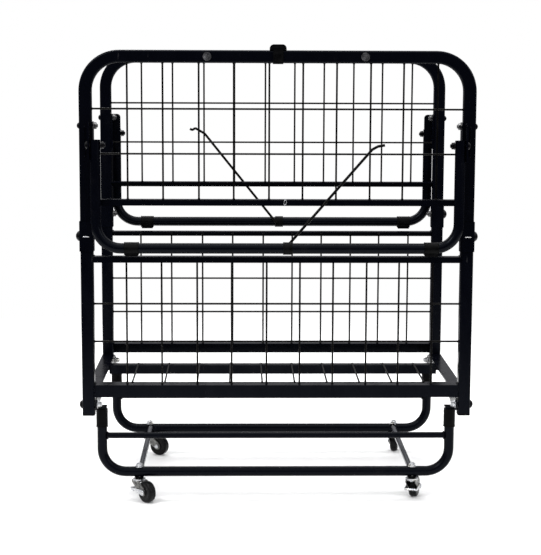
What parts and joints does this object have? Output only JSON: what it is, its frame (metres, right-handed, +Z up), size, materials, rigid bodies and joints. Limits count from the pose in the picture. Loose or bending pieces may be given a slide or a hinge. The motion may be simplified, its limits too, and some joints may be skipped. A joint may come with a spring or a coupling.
{
  "type": "rollaway bed",
  "caption": "Folding rollaway bed frame standing folded on casters: square-tube decks with wire mesh, swinging U-shaped legs and a round-tube base.",
  "frame": {"origin": "on the floor below the middle of the folded bed", "axes": "+X across the bed, +Y from the front deck to the rear deck, +Z up"},
  "size_m": [0.806, 0.5598, 0.9355],
  "materials": {
    "black_powder_coat": "glossy black powder coat on steel",
    "black_wire": "black painted wire, fairly shiny",
    "black_plastic": "moulded black plastic",
    "zinc_plate": "bright zinc-plated steel",
    "dark_fastener": "dark plated steel, bright where it is worn",
    "caster_tread": "black hard plastic wheel"
  },
  "bodies": {
    "base": {"base_frame_front": "black_powder_coat", "base_frame_rear": "black_powder_coat", "base_crossbars": "black_powder_coat", "base_spacers": "black_powder_coat", "base_caps": "black_plastic", "frame_side_left": "black_powder_coat", "frame_side_right": "black_powder_coat", "frame_cross_rails": "black_powder_coat", "frame_wires": "black_wire", "pivot_brackets": "black_powder_coat", "pivot_bolts": "dark_fastener", "caster_stems": "zinc_plate", "caster_cups": "black_plastic"},
    "front_deck": {"front_deck_loop": "black_powder_coat", "front_deck_rails": "black_powder_coat", "front_joint_sleeves": "black_powder_coat", "front_rail_caps": "black_plastic", "front_deck_bolts": "dark_fastener", "front_deck_bars": "black_powder_coat", "front_bottom_bar": "black_powder_coat", "front_mesh_upper": "black_wire", "front_mesh_lower": "black_wire", "front_leg_hangers": "black_powder_coat", "front_leg_pivot_bolts": "dark_fastener", "front_loop_screws": "dark_fastener", "top_clip": "black_plastic"},
    "front_leg": {"front_leg_frame": "black_powder_coat", "front_leg_feet": "black_plastic", "front_rod_collar": "black_plastic", "front_brace_rod": "black_wire"},
    "rear_deck": {"rear_deck_loop": "black_powder_coat", "rear_deck_rails": "black_powder_coat", "rear_joint_sleeves": "black_powder_coat", "rear_rail_caps": "black_plastic", "rear_deck_bolts": "dark_fastener", "rear_deck_bars": "black_powder_coat", "rear_bottom_bar": "black_powder_coat", "rear_mesh_upper": "black_wire", "rear_mesh_lower": "black_wire", "rear_leg_hangers": "black_powder_coat", "rear_leg_pivot_bolts": "dark_fastener", "rear_loop_screws": "dark_fastener"},
    "rear_leg": {"rear_leg_frame": "black_powder_coat", "rear_leg_feet": "black_plastic", "rear_rod_collar": "black_plastic", "rear_brace_rod": "black_wire"},
    "caster_front_left_swivel": {"caster_front_left_fork": "zinc_plate", "caster_front_left_axle": "zinc_plate"},
    "caster_front_left_roller": {"caster_front_left_wheel": "caster_tread"},
    "caster_front_left_brake_lever": {"caster_front_left_brake": "zinc_plate"},
    "caster_front_right_swivel": {"caster_front_right_fork": "zinc_plate", "caster_front_right_axle": "zinc_plate"},
    "caster_front_right_roller": {"caster_front_right_wheel": "caster_tread"},
    "caster_front_right_brake_lever": {"caster_front_right_brake": "zinc_plate"},
    "caster_rear_left_swivel": {"caster_rear_left_fork": "zinc_plate", "caster_rear_left_axle": "zinc_plate"},
    "caster_rear_left_roller": {"caster_rear_left_wheel": "caster_tread"},
    "caster_rear_right_swivel": {"caster_rear_right_fork": "zinc_plate", "caster_rear_right_axle": "zinc_plate"},
    "caster_rear_right_roller": {"caster_rear_right_wheel": "caster_tread"}
  },
  "joints": [
    {"name": "front_deck_fold", "type": "hinge", "parent": "base", "child": "front_deck", "pos_m": [0, -0.236, 0.2115], "axis": [1, 0, 0], "range_deg": [0, 90]},
    {"name": "rear_deck_fold", "type": "hinge", "parent": "base", "child": "rear_deck", "pos_m": [0, 0.236, 0.2115], "axis": [-1, 0, 0], "range_deg": [0, 90]},
    {"name": "front_leg_swing", "type": "hinge", "parent": "front_deck", "child": "front_leg", "pos_m": [0, -0.2675, 0.738], "axis": [-1, 0, 0], "range_deg": [0, 127.5]},
    {"name": "rear_leg_swing", "type": "hinge", "parent": "rear_deck", "child": "rear_leg", "pos_m": [0, 0.2675, 0.738], "axis": [1, 0, 0], "range_deg": [0, 127.5]},
    {"name": "caster_front_left_turn", "type": "hinge", "parent": "base", "child": "caster_front_left_swivel", "pos_m": [-0.283, -0.1935, 0.042], "axis": [0, 0, 1], "continuous": true},
    {"name": "caster_front_left_roll", "type": "hinge", "parent": "caster_front_left_swivel", "child": "caster_front_left_roller", "pos_m": [-0.26629, -0.21342, 0.022], "axis": [0.766, 0.6428, 0], "continuous": true},
    {"name": "caster_front_left_brake_press", "type": "hinge", "parent": "caster_front_left_swivel", "child": "caster_front_left_brake_lever", "pos_m": [-0.26629, -0.21342, 0.022], "axis": [-0.766, -0.6428, 0], "range_deg": [0, 18]},
    {"name": "caster_front_right_turn", "type": "hinge", "parent": "base", "child": "caster_front_right_swivel", "pos_m": [0.283, -0.1935, 0.042], "axis": [0, 0, 1], "continuous": true},
    {"name": "caster_front_right_roll", "type": "hinge", "parent": "caster_front_right_swivel", "child": "caster_front_right_roller", "pos_m": [0.29103, -0.16877, 0.022], "axis": [-0.9511, 0.309, 0], "continuous": true},
    {"name": "caster_front_right_brake_press", "type": "hinge", "parent": "caster_front_right_swivel", "child": "caster_front_right_brake_lever", "pos_m": [0.29103, -0.16877, 0.022], "axis": [0.9511, -0.309, 0], "range_deg": [0, 18]},
    {"name": "caster_rear_left_turn", "type": "hinge", "parent": "base", "child": "caster_rear_left_swivel", "pos_m": [-0.283, 0.1935, 0.042], "axis": [0, 0, 1], "continuous": true},
    {"name": "caster_rear_left_roll", "type": "hinge", "parent": "caster_rear_left_swivel", "child": "caster_rear_left_roller", "pos_m": [-0.26048, 0.1805, 0.022], "axis": [0.5, 0.866, 0], "continuous": true},
    {"name": "caster_rear_right_turn", "type": "hinge", "parent": "base", "child": "caster_rear_right_swivel", "pos_m": [0.283, 0.1935, 0.042], "axis": [0, 0, 1], "continuous": true},
    {"name": "caster_rear_right_roll", "type": "hinge", "parent": "caster_rear_right_swivel", "child": "caster_rear_right_roller", "pos_m": [0.28751, 0.2191, 0.022], "axis": [-0.9848, 0.1736, 0], "continuous": true}
  ]
}
